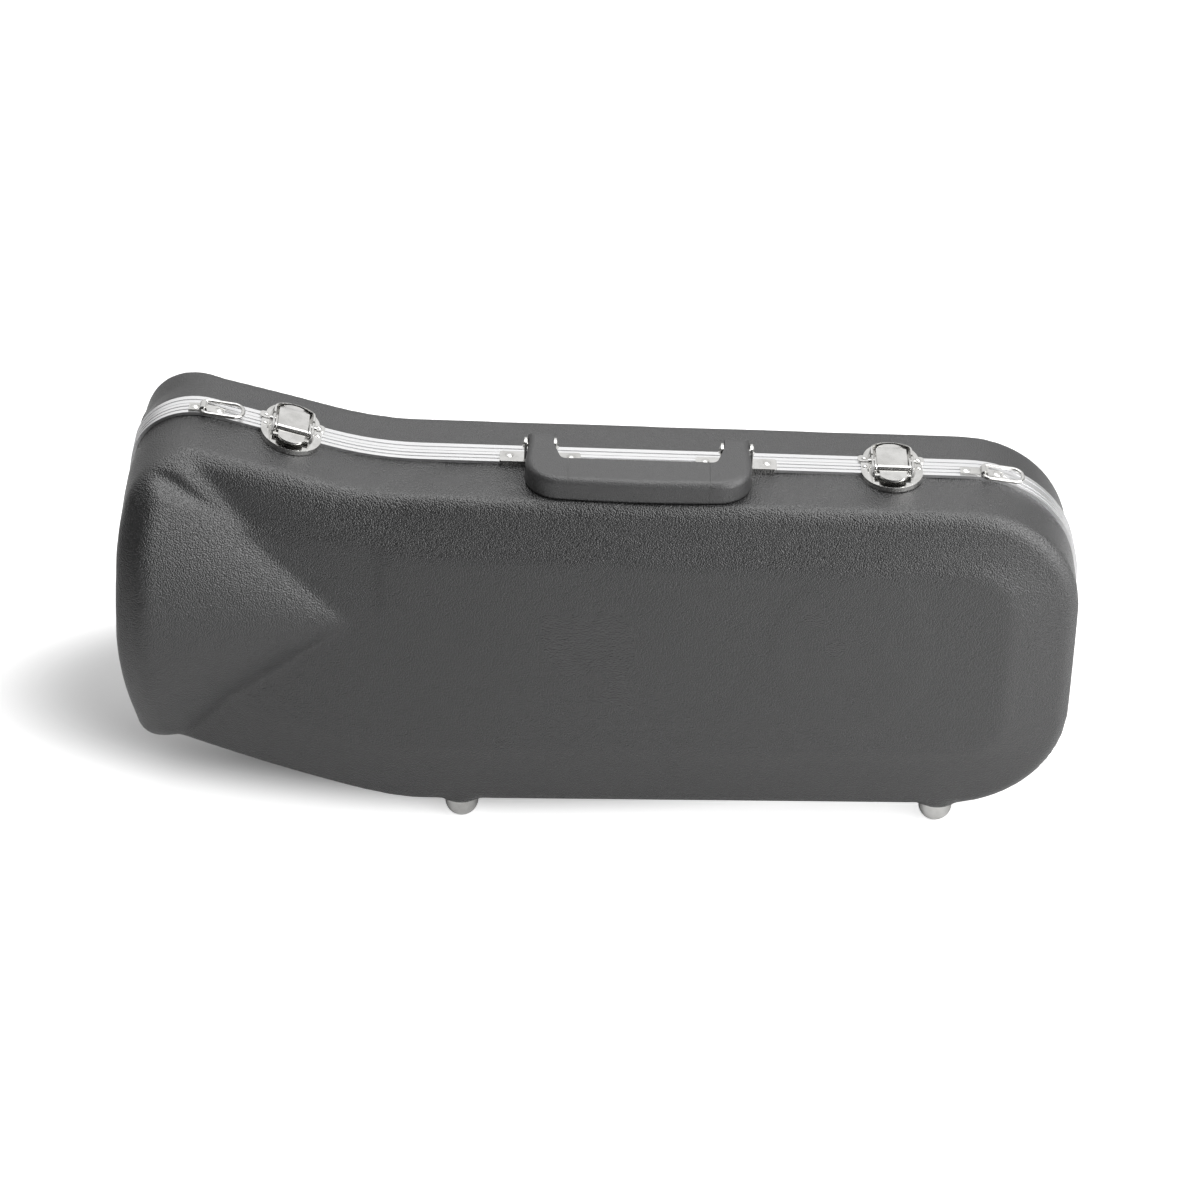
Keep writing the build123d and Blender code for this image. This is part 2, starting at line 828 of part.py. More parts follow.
def housing(width, start, reach, rim_depth, channel_end, rail_flat, rail_end, end_height):
    """A pressed plate on the rim with a skirt beyond it and leaning rails beside a channel."""
    with BuildPart() as body:
        extrude(round_end(width, start, reach), amount=latch_plate)
        extrude(
            round_end(latch_rail_width, start - latch_plate, reach - (width - latch_rail_width) / 2),
            amount=latch_rail_top,
            taper=latch_rail_lean,
        )
        extrude(
            round_end(latch_channel, start - latch_plate, channel_end),
            amount=latch_rail_top,
            mode=Mode.SUBTRACT,
        )
        extrude(round_end(width, start, reach), amount=latch_plate)
        with BuildSketch(Plane.YZ):
            with BuildLine():
                Polyline(
                    (rail_flat, latch_rail_top),
                    (rail_end, end_height),
                    (2 * reach, end_height),
                    (2 * reach, 2 * latch_rail_top),
                    (rail_flat, 2 * latch_rail_top),
                    close=True,
                )
            make_face()
        extrude(amount=width, both=True, mode=Mode.SUBTRACT)
        with BuildSketch():
            add(round_end(width, start, reach))
            add(round_end(width - 2 * latch_plate, start, reach - latch_plate), mode=Mode.SUBTRACT)
            with Locations((0, rim_depth + fit - width)):
                Rectangle(2 * width, 2 * width, mode=Mode.SUBTRACT)
        extrude(amount=-latch_skirt)
        with Locations((0, start - width, 0)):
            Box(2 * width, 2 * width, 4 * width, mode=Mode.SUBTRACT)
    return body.part


# Latch pieces, each drawn in the latch seat's own directions
lever_pivot = (-latch_pivot_depth, latch_pivot_height)
hasp_pivot = (-hasp_pivot_depth, hasp_pivot_height)
rivet_places = [(side * latch_rivet_spread, -base_rim_depth / 2) for side in (-1, 1)]
strike_rivet_places = [
    (side * latch_rivet_spread, seam_gap + lid_rim_depth / 2) for side in (-1, 1)
]

with BuildPart() as latch_base:
    add(
        mirror(
            housing(
                latch_plate_width,
                seam_margin,
                latch_plate_reach,
                base_rim_depth,
                2 * latch_plate_reach,
                latch_plate_flat,
                latch_plate_slope_end,
                latch_plate,
            ),
            about=Plane.XZ,
        )
    )
    with Locations((0, *lever_pivot)):
        Cylinder(
            latch_pin_radius + rivet_gap,
            latch_plate_width,
            rotation=(0, 90, 0),
            mode=Mode.SUBTRACT,
        )
    with Locations(*rivet_places):
        Cylinder(rivet_shank + rivet_gap, 4 * latch_plate, mode=Mode.SUBTRACT)

strike_start = seam_gap + seam_margin
with BuildPart() as strike:
    add(
        housing(
            strike_width,
            strike_start,
            strike_reach,
            seam_gap + lid_rim_depth,
            strike_channel_end,
            strike_flat,
            strike_reach,
            strike_end_height,
        )
    )
    with BuildSketch():
        with Locations((0, strike_start + strike_ear_depth / 2)):
            RectangleRounded(strike_ear_width, strike_ear_depth, strike_ear_round)
    extrude(amount=latch_plate)
    with BuildSketch(Plane.XY.offset(latch_plate)):
        with Locations((0, keeper_depth + keeper / 2)):
            Rectangle(keeper_width, keeper)
    extrude(amount=keeper_rise)
    with Locations(*strike_rivet_places):
        Cylinder(rivet_shank + rivet_gap, 4 * latch_plate, mode=Mode.SUBTRACT)

arm_outer = lever_width / 2
arm_inner = arm_outer - lever_arm
rail_outer = latch_rail_width / 2
with BuildPart() as lever_pins:
    for side in (-1, 1):
        with Locations((side * (arm_inner + rail_outer) / 2, *lever_pivot)):
            Cylinder(latch_pin_radius, rail_outer - arm_inner, rotation=(0, 90, 0))

shoulder_y = -hasp_pivot_depth - lever_clear
plate_low = hasp_pivot_height - lever_plate_drop - lever_plate / 2
with BuildPart() as lever:
    with BuildSketch(Plane.YZ) as arm_view:
        with Locations(lever_pivot, hasp_pivot):
            Circle(lever_arm_radius)
        make_hull()
        with BuildLine():
            Polyline(
                (-hasp_pivot_depth, plate_low),
                (shoulder_y - lever_shoulder, plate_low),
                (shoulder_y - lever_shoulder, plate_low - lever_plate),
                (-hasp_pivot_depth, hasp_pivot_height - lever_arm_radius),
                close=True,
            )
        make_face()
    extrude(amount=arm_outer, both=True)
    with Locations((0, -latch_pivot_depth, latch_pivot_height)):
        Box(
            2 * arm_inner,
            -2 * (shoulder_y + latch_pivot_depth),
            latch_plate_width,
            mode=Mode.SUBTRACT,
        )
    with BuildSketch(Plane.XY.offset(plate_low)):
        with BuildLine():
            Polyline(
                (-lever_plate_width / 2, lever_tip - lever_reach),
                (-lever_plate_width / 2, shoulder_y),
                (lever_plate_width / 2, shoulder_y),
                (lever_plate_width / 2, lever_tip - lever_reach),
            )
            ThreePointArc(
                (lever_plate_width / 2, lever_tip - lever_reach),
                (0, -lever_reach),
                (-lever_plate_width / 2, lever_tip - lever_reach),
            )
        make_face()
    extrude(amount=lever_plate)
    for centre, radius in (
        (lever_pivot, latch_pin_radius + pin_gap),
        (hasp_pivot, hasp_pin_radius + rivet_gap),
    ):
        with Locations((0, *centre)):
            Cylinder(radius, latch_plate_width, rotation=(0, 90, 0), mode=Mode.SUBTRACT)

with BuildPart() as hasp_pin:
    with Locations((0, *hasp_pivot)):
        Cylinder(hasp_pin_radius, lever_width, rotation=(0, 90, 0))

hasp_high = hasp_pivot_height + hasp_plate / 2
hasp_low = hasp_high - hasp_plate
with BuildPart() as hasp:
    with BuildSketch(Plane.YZ):
        with Locations(hasp_pivot):
            Circle(hasp_barrel)
        with BuildLine():
            Polyline(
                (-hasp_pivot_depth, hasp_high),
                (hasp_bend, hasp_high),
                (hasp_bend + hasp_ramp, hasp_high - hasp_drop),
                (hasp_reach, hasp_high - hasp_drop),
                (hasp_reach, hasp_low - hasp_drop),
                (hasp_bend + hasp_ramp, hasp_low - hasp_drop),
                (hasp_bend, hasp_low),
                (-hasp_pivot_depth, hasp_low),
                close=True,
            )
        make_face()
    extrude(amount=hasp_width / 2, both=True)
    nose = hasp.edges().filter_by(Axis.Z).group_by(Axis.Y)[-1]
    fillet(nose, radius=hasp_nose)
    with Locations((0, *hasp_pivot)):
        Cylinder(
            hasp_pin_radius + pin_gap,
            latch_plate_width,
            rotation=(0, 90, 0),
            mode=Mode.SUBTRACT,
        )

latch_pieces = {
    "plate": latch_base,
    "lever_pins": lever_pins,
    "lever": lever,
    "hasp_pin": hasp_pin,
    "hasp": hasp,
    "strike": strike,
}
for name, seat in latch_seats.items():
    for piece, drawn in latch_pieces.items():
        save(seat.location * drawn.part, f"{name}_{piece}")
save(rivets(latch_rivet_seats, small_rivet_head, latch_plate), "latch_plate_rivets")
save(rivets(strike_rivet_seats, small_rivet_head, latch_plate), "strike_rivets")

# Strap rings, and the clips that follow the curve of the rim and arch over the rings' bars
with BuildPart() as ring:
    with BuildLine() as wire:
        FilletPolyline(
            (0, -ring_width / 2),
            (ring_length, -ring_width / 2),
            (ring_length, ring_width / 2),
            (0, ring_width / 2),
            radius=[ring_bar_round, ring_end_round, ring_end_round, ring_bar_round],
            close=True,
        )
    with BuildSketch(Plane(wire.line @ 0, z_dir=wire.line % 0)):
        Circle(ring_wire)
    sweep(path=wire.line)

ring_lift = ring_wire + ring_gap / 2
for name, (x, back, front) in ring_bars.items():
    seat = rim_seat(x)
    bar = spot(seat, 0, -clip_depth, ring_lift)
    with BuildPart() as clip:
        band = outline(clip_depth - clip_width / 2, -clip_plate)
        extrude(band, amount=clip_width)
        with Locations(spot(seat, (front - back) / 2, -clip_depth)):
            Box(back + front + 2 * clip_margin, clip_width, half_length, mode=Mode.INTERSECT)
        with Locations(bar):
            Cylinder(ring_lift + clip_plate, clip_width, rotation=(90, 0, 0))
        extrude(outline(0, 0), amount=base_rim_depth, mode=Mode.SUBTRACT)
        with Locations(bar):
            Cylinder(ring_wire + ring_gap, clip_width, rotation=(90, 0, 0), mode=Mode.SUBTRACT)
        for rivet_x in (x - back, x + front):
            with Locations(spot(rim_seat(rivet_x), 0, -clip_depth)):
                Cylinder(rivet_shank + rivet_gap, 4 * clip_plate, mode=Mode.SUBTRACT)
    save(clip.part, f"{name}_clip")
    save(bar.location * ring.part, name)
save(rivets(clip_rivet_seats, rivet_head, clip_plate), "clip_rivets")


def bell_pocket():
    """The hollow that takes the bell, flaring towards the end of the case."""
    with BuildPart() as pocket:
        with BuildSketch(Plane.XY):
            with BuildLine():
                Polyline(
                    (bell_throat_x, 0),
                    (bell_mouth_x, 0),
                    (bell_mouth_x, bell_mouth_radius),
                )
                Spline(
                    (bell_mouth_x, bell_mouth_radius),
                    (bell_flare_x, bell_flare_radius),
                    (bell_throat_x, bell_throat_radius),
                )
                Line((bell_throat_x, bell_throat_radius), (bell_throat_x, 0))
            make_face()
        revolve(axis=Axis.X)
    return Location((0, seam, bell_pocket_height)) * pocket.part


# Linings: padded blocks with hollows for the trumpet, a box and a mouthpiece block
lining_side = wall + fit + rim_lip + lining_gap
lining_deep = wall + lining_gap
with BuildPart() as base_lining:
    add(
        shell_form(
            base_lining_start, lining_side, lining_deep, base_crease, base_face, base_bell_slope
        )
    )
    add(bell_pocket(), mode=Mode.SUBTRACT)
    with BuildSketch(seam_plane):
        with Locations(
            ((body_pocket_start + body_pocket_end) / 2, (body_pocket_floor + body_pocket_top) / 2)
        ):
            RectangleRounded(
                body_pocket_end - body_pocket_start,
                body_pocket_top - body_pocket_floor,
                body_pocket_round,
            )
        with Locations((valve_well_x, (valve_well_floor + valve_well_top) / 2)):
            RectangleRounded(
                valve_well_length, valve_well_top - valve_well_floor, valve_well_round
            )
    extrude(amount=body_pocket_depth, mode=Mode.SUBTRACT)
    with BuildSketch(seam_plane):
        with Locations((box_x, (box_floor + box_top) / 2)):
            RectangleRounded(box_length, box_top - box_floor, box_round)
    extrude(amount=box_depth, mode=Mode.SUBTRACT)
save(base_lining.part, "base_lining")

block_x = box_x + box_length / 2 - lining_gap - block_length / 2
block_width = box_top - box_floor - 2 * lining_gap
with BuildPart() as mouthpiece_block:
    with BuildSketch(seam_plane.offset(box_depth)):
        with Locations((block_x, (box_floor + box_top) / 2)):
            RectangleRounded(block_length, block_width, box_round)
    extrude(amount=-block_height)
    with BuildSketch(seam_plane.offset(box_depth - block_height)):
        with Locations((block_x, (box_floor + box_top) / 2)):
            with GridLocations(mouthpiece_spacing, 0, 2, 1):
                Circle(mouthpiece_radius)
    extrude(amount=mouthpiece_depth, mode=Mode.SUBTRACT)
save(mouthpiece_block.part, "mouthpiece_block")

with BuildPart() as lid_lining:
    add(
        shell_form(
            lid_lining_start, lining_side, lining_deep, lid_crease, lid_face, lid_bell_slope
        )
    )
    hollow = outline(0, lining_inset + lid_lining_thickness)
    extrude(hollow, amount=lid_face - lining_deep - lid_lining_thickness, mode=Mode.SUBTRACT)
    add(bell_pocket(), mode=Mode.SUBTRACT)
save(mirror(lid_lining.part, about=seam_plane), "lid_lining")
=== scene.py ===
import json
import math

import bmesh
import bpy
from mathutils import Matrix, Vector


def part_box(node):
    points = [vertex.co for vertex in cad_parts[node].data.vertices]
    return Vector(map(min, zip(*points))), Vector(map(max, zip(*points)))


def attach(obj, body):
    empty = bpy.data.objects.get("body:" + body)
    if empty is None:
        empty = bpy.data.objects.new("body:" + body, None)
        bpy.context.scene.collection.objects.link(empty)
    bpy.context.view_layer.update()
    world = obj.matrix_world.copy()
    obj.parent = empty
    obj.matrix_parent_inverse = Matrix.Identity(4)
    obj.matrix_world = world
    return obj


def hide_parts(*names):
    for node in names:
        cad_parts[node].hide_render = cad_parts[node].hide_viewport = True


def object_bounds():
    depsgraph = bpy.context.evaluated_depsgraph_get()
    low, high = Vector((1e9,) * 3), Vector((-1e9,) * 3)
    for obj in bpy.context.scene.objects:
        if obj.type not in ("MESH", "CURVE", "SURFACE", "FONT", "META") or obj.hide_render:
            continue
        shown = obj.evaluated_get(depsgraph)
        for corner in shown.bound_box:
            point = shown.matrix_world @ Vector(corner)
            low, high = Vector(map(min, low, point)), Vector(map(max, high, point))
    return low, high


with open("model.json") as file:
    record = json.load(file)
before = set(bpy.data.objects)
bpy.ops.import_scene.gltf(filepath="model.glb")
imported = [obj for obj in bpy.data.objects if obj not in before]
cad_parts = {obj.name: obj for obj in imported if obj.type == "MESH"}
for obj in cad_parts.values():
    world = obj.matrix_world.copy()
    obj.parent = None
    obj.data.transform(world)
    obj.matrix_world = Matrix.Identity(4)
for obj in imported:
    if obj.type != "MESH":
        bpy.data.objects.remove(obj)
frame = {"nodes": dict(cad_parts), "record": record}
cadLow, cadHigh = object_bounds()
nodes = frame["nodes"]
bodies = frame["record"]["behaviour"]["bodies"]
bodyOf = {node: body for body, group in bodies.items() for node in group}
slotOf = {part["node"]: part["material_slot"] for part in frame["record"]["subparts"]}
scene = bpy.context.scene
print("frame loaded:", len(nodes), "nodes")

# ---- camera

camera = {
    "target": (0.0, 0.0104, 0.1349),
    "distance": 2.2,
    "elevation": 35.0,
    "roll": 0.6,      # degrees, right side lower
    "lens": 108.24, "sensor": 36, "reach": 20,
}


def placeCamera():
    data = bpy.data.cameras.new("camera")
    data.lens = camera["lens"]
    data.sensor_width = camera["sensor"]
    data.clip_end = camera["reach"]
    eye = bpy.data.objects.new("camera", data)
    scene.collection.objects.link(eye)
    up = math.radians(camera["elevation"])
    target = Vector(camera["target"])
    eye.location = target + camera["distance"] * Vector((0, -math.cos(up), math.sin(up)))
    turn = (target - eye.location).to_track_quat("-Z", "Y").to_matrix()
    eye.rotation_euler = (turn @ Matrix.Rotation(math.radians(camera["roll"]), 3, "Z")).to_euler()
    scene.camera = eye


placeCamera()
print("camera placed")

# ---- shader groups


def newGroup(name, inputs, outputs):
    tree = bpy.data.node_groups.new(name, "ShaderNodeTree")
    face = tree.interface
    for label, value in inputs.items():
        socket = face.new_socket(name=label, in_out="INPUT", socket_type="NodeSocketFloat")
        socket.default_value = value
    for label in outputs:
        face.new_socket(name=label, in_out="OUTPUT", socket_type="NodeSocketFloat")
    return tree, tree.nodes.new("NodeGroupInput"), tree.nodes.new("NodeGroupOutput")


def addNode(tree, kind, settings=None, **sockets):
    node = tree.nodes.new(kind)
    for key, value in (settings or {}).items():
        setattr(node, key, value)
    for key, value in sockets.items():
        byPlace = key[0] == "i" and key[1:].isdigit()      # i0, i1 name a socket by its place
        socket = node.inputs[int(key[1:]) if byPlace else key.replace("_", " ")]
        if isinstance(value, bpy.types.NodeSocket):
            tree.links.new(value, socket)
        else:
            socket.default_value = value
    return node


def mathNode(tree, operation, first, second=0.0, clamp=False):
    settings = {"operation": operation, "use_clamp": clamp}
    return addNode(tree, "ShaderNodeMath", settings, i0=first, i1=second).outputs[0]


def noiseNode(tree, settings=None, **sockets):
    return addNode(tree, "ShaderNodeTexNoise", settings, **sockets).outputs[0]


def objectPlace(tree):
    return addNode(tree, "ShaderNodeTexCoord").outputs["Object"]


def ramp(tree, value, low, high, outLow=0.0, outHigh=1.0):
    node = addNode(tree, "ShaderNodeMapRange", {"interpolation_type": "SMOOTHSTEP"},
                   Value=value, From_Min=low, From_Max=high, To_Min=outLow, To_Max=outHigh)
    return node.outputs[0]


pebble = {
    "cells": 900.0, "fine": 0.3,                 # cells per metre and share of fine noise, unless given
    "rounding": 0.6, "lumpScale": 0.45, "lumpWeight": 0.35, "fineScale": 2.2, "cloudScale": 9.0,
}
handling = {
    "scale": 60.0, "speckScale": 14.0,
    "smearFrom": 0.35, "smearTo": 0.75, "speckFrom": 0.55, "speckTo": 0.8,
}


def makePebbleGroup():
    # moulded pebble grain: rounded cells of two sizes broken up by fine noise
    inputs = {"Cells per metre": pebble["cells"], "Fine": pebble["fine"]}
    tree, given, out = newGroup("pebble grain", inputs, ["Height", "Speckle", "Cloud"])
    place = objectPlace(tree)
    scale, fineShare = given.outputs[0], given.outputs[1]
    cells = addNode(tree, "ShaderNodeTexVoronoi", {"feature": "SMOOTH_F1"},
                    Vector=place, Scale=scale, Smoothness=pebble["rounding"])
    lumpScale = mathNode(tree, "MULTIPLY", scale, pebble["lumpScale"])
    lumps = noiseNode(tree, Vector=place, Scale=lumpScale, Detail=2.0)
    fineScale = mathNode(tree, "MULTIPLY", scale, pebble["fineScale"])
    fine = noiseNode(tree, Vector=place, Scale=fineScale, Detail=1.0)
    rounded = mathNode(tree, "SUBTRACT", 1.0, cells.outputs["Distance"])
    height = mathNode(tree, "ADD", rounded, mathNode(tree, "MULTIPLY", lumps, pebble["lumpWeight"]))
    height = mathNode(tree, "ADD", height, mathNode(tree, "MULTIPLY", fine, fineShare))
    cloud = noiseNode(tree, Vector=place, Scale=pebble["cloudScale"], Detail=3.0)
    for value, socket in zip((height, fine, cloud), out.inputs):
        tree.links.new(value, socket)
    return tree


def makeWearGroup():
    # faint smears and specks that metal collects with handling
    inputs = {"Scale": handling["scale"], "Amount": 1.0}
    tree, given, out = newGroup("handling", inputs, ["Smear", "Speck"])
    place = objectPlace(tree)
    scale, amount = given.outputs[0], given.outputs[1]
    smear = noiseNode(tree, Vector=place, Scale=scale, Detail=5.0, Roughness=0.6)
    speckScale = mathNode(tree, "MULTIPLY", scale, handling["speckScale"])
    speck = noiseNode(tree, Vector=place, Scale=speckScale, Detail=2.0)
    smeared = ramp(tree, smear, handling["smearFrom"], handling["smearTo"])
    specked = ramp(tree, speck, handling["speckFrom"], handling["speckTo"])
    for value, socket in zip((smeared, specked), out.inputs):
        tree.links.new(mathNode(tree, "MULTIPLY", value, amount), socket)
    return tree


pebbleGroup = makePebbleGroup()
wearGroup = makeWearGroup()


def newMaterial(name, **plain):
    material = bpy.data.materials.new(name)
    material.use_nodes = True
    tree = material.node_tree
    shader = tree.nodes["Principled BSDF"]
    for label, value in plain.items():
        shader.inputs[label.replace("_", " ")].default_value = value
    return material, tree, shader


def placeGroup(tree, group, **values):
    node = tree.nodes.new("ShaderNodeGroup")
    node.node_tree = group
    for label, value in values.items():
        node.inputs[label.replace("_", " ")].default_value = value
    return node


def blendColour(tree, factor, dark, light):
    node = addNode(tree, "ShaderNodeMix", {"data_type": "RGBA"}, i0=factor)
    node.inputs[6].default_value = (*dark, 1)
    node.inputs[7].default_value = (*light, 1)
    return node.outputs[2]


def giveBump(tree, shader, height, distance, strength=1.0):
    bump = addNode(tree, "ShaderNodeBump", None, Height=height, Distance=distance, Strength=strength)
    tree.links.new(bump.outputs[0], shader.inputs["Normal"])


# ---- finishes

plasticTone = {"cloud": 0.6, "speckle": 0.4, "smoothAt": 0.3, "roughAt": 0.7, "ior": 1.8}
shellPlastic = {
    "dark": (0.013, 0.013, 0.0134), "light": (0.019, 0.019, 0.0194),
    "smooth": 0.27, "rough": 0.34, "cells": 1150.0, "depth": 0.00042,
}
handlePlastic = {
    "dark": (0.022, 0.022, 0.0225), "light": (0.031, 0.031, 0.0315),
    "smooth": 0.34, "rough": 0.44, "cells": 1700.0, "depth": 0.0002,
}
rimAluminium = {
    "dark": (0.76, 0.76, 0.765), "light": (0.86, 0.86, 0.865),
    "smooth": 0.28, "rough": 0.42, "streak": 0.00002,
    "lines": 5200.0, "lineShare": 0.7, "wearShare": 0.3, "wearScale": 35.0,
}
nickel = {
    "dark": (0.55, 0.545, 0.53), "light": (0.72, 0.715, 0.7),
    "smooth": 0.12, "rough": 0.26, "wearScale": 90.0, "relief": 0.00002,
}
steel = {
    "dark": (0.42, 0.42, 0.42), "light": (0.55, 0.55, 0.55),
    "smooth": 0.25, "rough": 0.45, "wearScale": 90.0, "relief": 0.00002,
}
plush = {
    "dark": (0.008, 0.008, 0.009), "light": (0.03, 0.03, 0.033),
    "nap": 1100.0, "brushed": 22.0, "brushedHeight": 0.5, "depth": 0.0009,
    "darkAt": 0.12, "lightAt": 0.42,
}


def makePlastic(name, look):
    material, tree, shader = newMaterial(name, IOR=plasticTone["ior"])
    grain = placeGroup(tree, pebbleGroup, Cells_per_metre=look["cells"])
    cloud = mathNode(tree, "MULTIPLY", grain.outputs["Cloud"], plasticTone["cloud"])
    speckle = mathNode(tree, "MULTIPLY", grain.outputs["Speckle"], plasticTone["speckle"])
    colour = blendColour(tree, mathNode(tree, "ADD", cloud, speckle), look["dark"], look["light"])
    tree.links.new(colour, shader.inputs["Base Color"])
    rough = ramp(tree, grain.outputs["Cloud"], plasticTone["smoothAt"], plasticTone["roughAt"],
                 look["smooth"], look["rough"])
    tree.links.new(rough, shader.inputs["Roughness"])
    giveBump(tree, shader, grain.outputs["Height"], look["depth"])
    return material


def makeAluminium(name, look):
    # drawn aluminium: fine lines that run along the rim, seen across its depth and height
    material, tree, shader = newMaterial(name, Metallic=1.0)
    split = addNode(tree, "ShaderNodeSeparateXYZ", None, Vector=objectPlace(tree))
    lines = noiseNode(tree, {"noise_dimensions": "1D"},
                      W=split.outputs["Y"], Scale=look["lines"], Detail=3.0)
    wear = placeGroup(tree, wearGroup, Scale=look["wearScale"])
    tone = mathNode(tree, "ADD", mathNode(tree, "MULTIPLY", lines, look["lineShare"]),
                    mathNode(tree, "MULTIPLY", wear.outputs["Smear"], look["wearShare"]))
    tree.links.new(blendColour(tree, tone, look["dark"], look["light"]), shader.inputs["Base Color"])
    rough = addNode(tree, "ShaderNodeMath", {"operation": "MULTIPLY_ADD"},
                    i0=lines, i1=look["rough"] - look["smooth"], i2=look["smooth"])
    tree.links.new(rough.outputs[0], shader.inputs["Roughness"])
    giveBump(tree, shader, lines, look["streak"])
    return material


def makeNickel(name, look):
    material, tree, shader = newMaterial(name, Metallic=1.0)
    wear = placeGroup(tree, wearGroup, Scale=look["wearScale"])
    smear, speck = wear.outputs["Smear"], wear.outputs["Speck"]
    tree.links.new(blendColour(tree, smear, look["light"], look["dark"]), shader.inputs["Base Color"])
    worn = mathNode(tree, "MAXIMUM", smear, speck)
    tree.links.new(ramp(tree, worn, 0.0, 1.0, look["smooth"], look["rough"]), shader.inputs["Roughness"])
    giveBump(tree, shader, smear, look["relief"])
    return material


def makePlush(name, look):
    material, tree, shader = newMaterial(name, Roughness=0.95, Sheen_Weight=0.5, Sheen_Roughness=0.4)
    place = objectPlace(tree)
    nap = noiseNode(tree, Vector=place, Scale=look["nap"], Detail=2.0)
    brushed = noiseNode(tree, Vector=place, Scale=look["brushed"], Detail=3.0)
    tone = ramp(tree, mathNode(tree, "MULTIPLY", nap, brushed), look["darkAt"], look["lightAt"])
    tree.links.new(blendColour(tree, tone, look["dark"], look["light"]), shader.inputs["Base Color"])
    height = mathNode(tree, "ADD", nap, mathNode(tree, "MULTIPLY", brushed, look["brushedHeight"]))
    giveBump(tree, shader, height, look["depth"])
    return material


finishes = {
    "shell": makePlastic("pebbled shell", shellPlastic),
    "handle": makePlastic("handle plastic", handlePlastic),
    "grip": makePlastic("grip plastic", handlePlastic),
    "rim": makeAluminium("satin rim", rimAluminium),
    "plating": makeNickel("bright nickel", nickel),
    "hinge_steel": makeNickel("hinge steel", steel),
    "lining": makePlush("plush lining", plush),
    "foam": makePlush("plush block", plush),
}
print("finishes made")


def paint(obj, slotName):
    obj.data.materials.clear()
    obj.data.materials.append(finishes[slotName])


# ---- CAD pieces that stay, with their edges worked

for name, node in nodes.items():
    paint(node, slotOf[name])


def addModifier(obj, kind, **settings):
    modifier = obj.modifiers.new(kind.lower(), kind)
    for key, value in settings.items():
        setattr(modifier, key, value)
    return modifier


cleaning = {"weld": 0.000005, "flatDegrees": 0.5}


def cleanCopy(name, newName):
    # a welded copy of a CAD node, its flat faces joined up again
    work = bmesh.new()
    work.from_mesh(nodes[name].data)
    bmesh.ops.remove_doubles(work, verts=work.verts, dist=cleaning["weld"])
    flat = math.radians(cleaning["flatDegrees"])
    bmesh.ops.dissolve_limit(work, angle_limit=flat, verts=work.verts, edges=work.edges)
    for face in work.faces:
        face.smooth = True
    mesh = bpy.data.meshes.new(newName)
    work.to_mesh(mesh)
    work.free()
    copy = bpy.data.objects.new(newName, mesh)
    scene.collection.objects.link(copy)
    paint(copy, slotOf[name])
    return copy


# ---- moulded shells: soft creases, and the forms that the plain shells leave out

seamY = (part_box("base_rim")[1][1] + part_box("lid_rim")[0][1]) / 2
moulding = {
    "voxel": 0.0024, "passes": 8, "wall": 0.003, "tilted": 0.2,
    "inset": 0.00205, "draft": 0.021, "draftFrom": 0.01,   # the skin's distance in from the outline
    "collar": 0.008, "settled": 0.034,          # depths where the moulding starts and is full
    "middle": ((-0.19, 0.165), (0.19, 0.125)),  # a line along the case that the sides face away from
    "sideEase": 0.042, "uprightFrom": 0.6, "uprightOver": 0.3,      # sides stand this much steeper
    "endShifts": ((0.0027, 0.1, 0.045), (-0.0026, 0.23, 0.03)),     # bell end: move, height, spread
    "endFrom": -0.2, "endOver": 0.06, "boxMargin": 0.0003,
    "belly": ((-0.116, 0.014), (-0.2795, 0.0695)), "bellyPast": 0.02,
    "peak": (-0.2702, 0.2845), "peakBefore": (-0.2926, 0.16), "peakAfter": (-0.1341, 0.243),
    "peakRound": 0.0475,
    "facet": (-0.2093, 0.2272), "facetEnd": -0.13, "facetTurn": 36.7, "facetSlope": 60.0,
    "faceDepth": 0.06, "faceKept": 0.0006,
}


def holdShare(value):
    return min(max(value, 0.0), 1.0)


def easeIn(depth):
    share = holdShare((depth - moulding["collar"]) / (moulding["settled"] - moulding["collar"]))
    return share * share * (3 - 2 * share)


def awayFromMiddle(flat):
    start, end = (Vector(place) for place in moulding["middle"])
    along = holdShare((flat - start).dot(end - start) / (end - start).length_squared)
    return (flat - start.lerp(end, along)).normalized()


def clipBelly(flat, inset, share):
    # the straight rise under the bell end
    corner, rise = (Vector(place) for place in moulding["belly"])
    down = -Vector((rise.y - corner.y, corner.x - rise.x)).normalized()
    over = (flat - corner).dot(down) + inset
    if over > 0 and flat.x < corner.x + moulding["bellyPast"]:
        flat -= down * over * share


def clipPeak(flat, inset, share):
    # the wide corner above the bell end
    corner, before, after = (Vector(moulding[key]) for key in ("peak", "peakBefore", "peakAfter"))
    back, on = (before - corner).normalized(), (after - corner).normalized()
    half = back.angle(on) / 2
    out = flat - (corner + (back + on).normalized() * moulding["peakRound"] / math.sin(half))
    over = out.length - moulding["peakRound"] + inset
    if out.dot(back) < 0 and out.dot(on) < 0 and over > 0:
        flat -= out.normalized() * over * share


def cutFacet(flat, depth, extra):
    # the facet between the bell's cone and the top, cut in depth
    least = moulding["faceDepth"]
    if depth <= least - extra or flat.x >= moulding["facetEnd"]:
        return depth
    lean, turn = math.radians(moulding["facetSlope"]), math.radians(moulding["facetTurn"])
    out = Vector((math.sin(lean) * math.sin(turn), math.sin(lean) * math.cos(turn)))
    over = (flat - Vector(moulding["facet"])).dot(out) + (depth - least) * math.cos(lean) + extra
    if over <= 0:
        return depth
    return max(depth - over / math.cos(lean), min(depth, least + moulding["faceKept"] - extra))


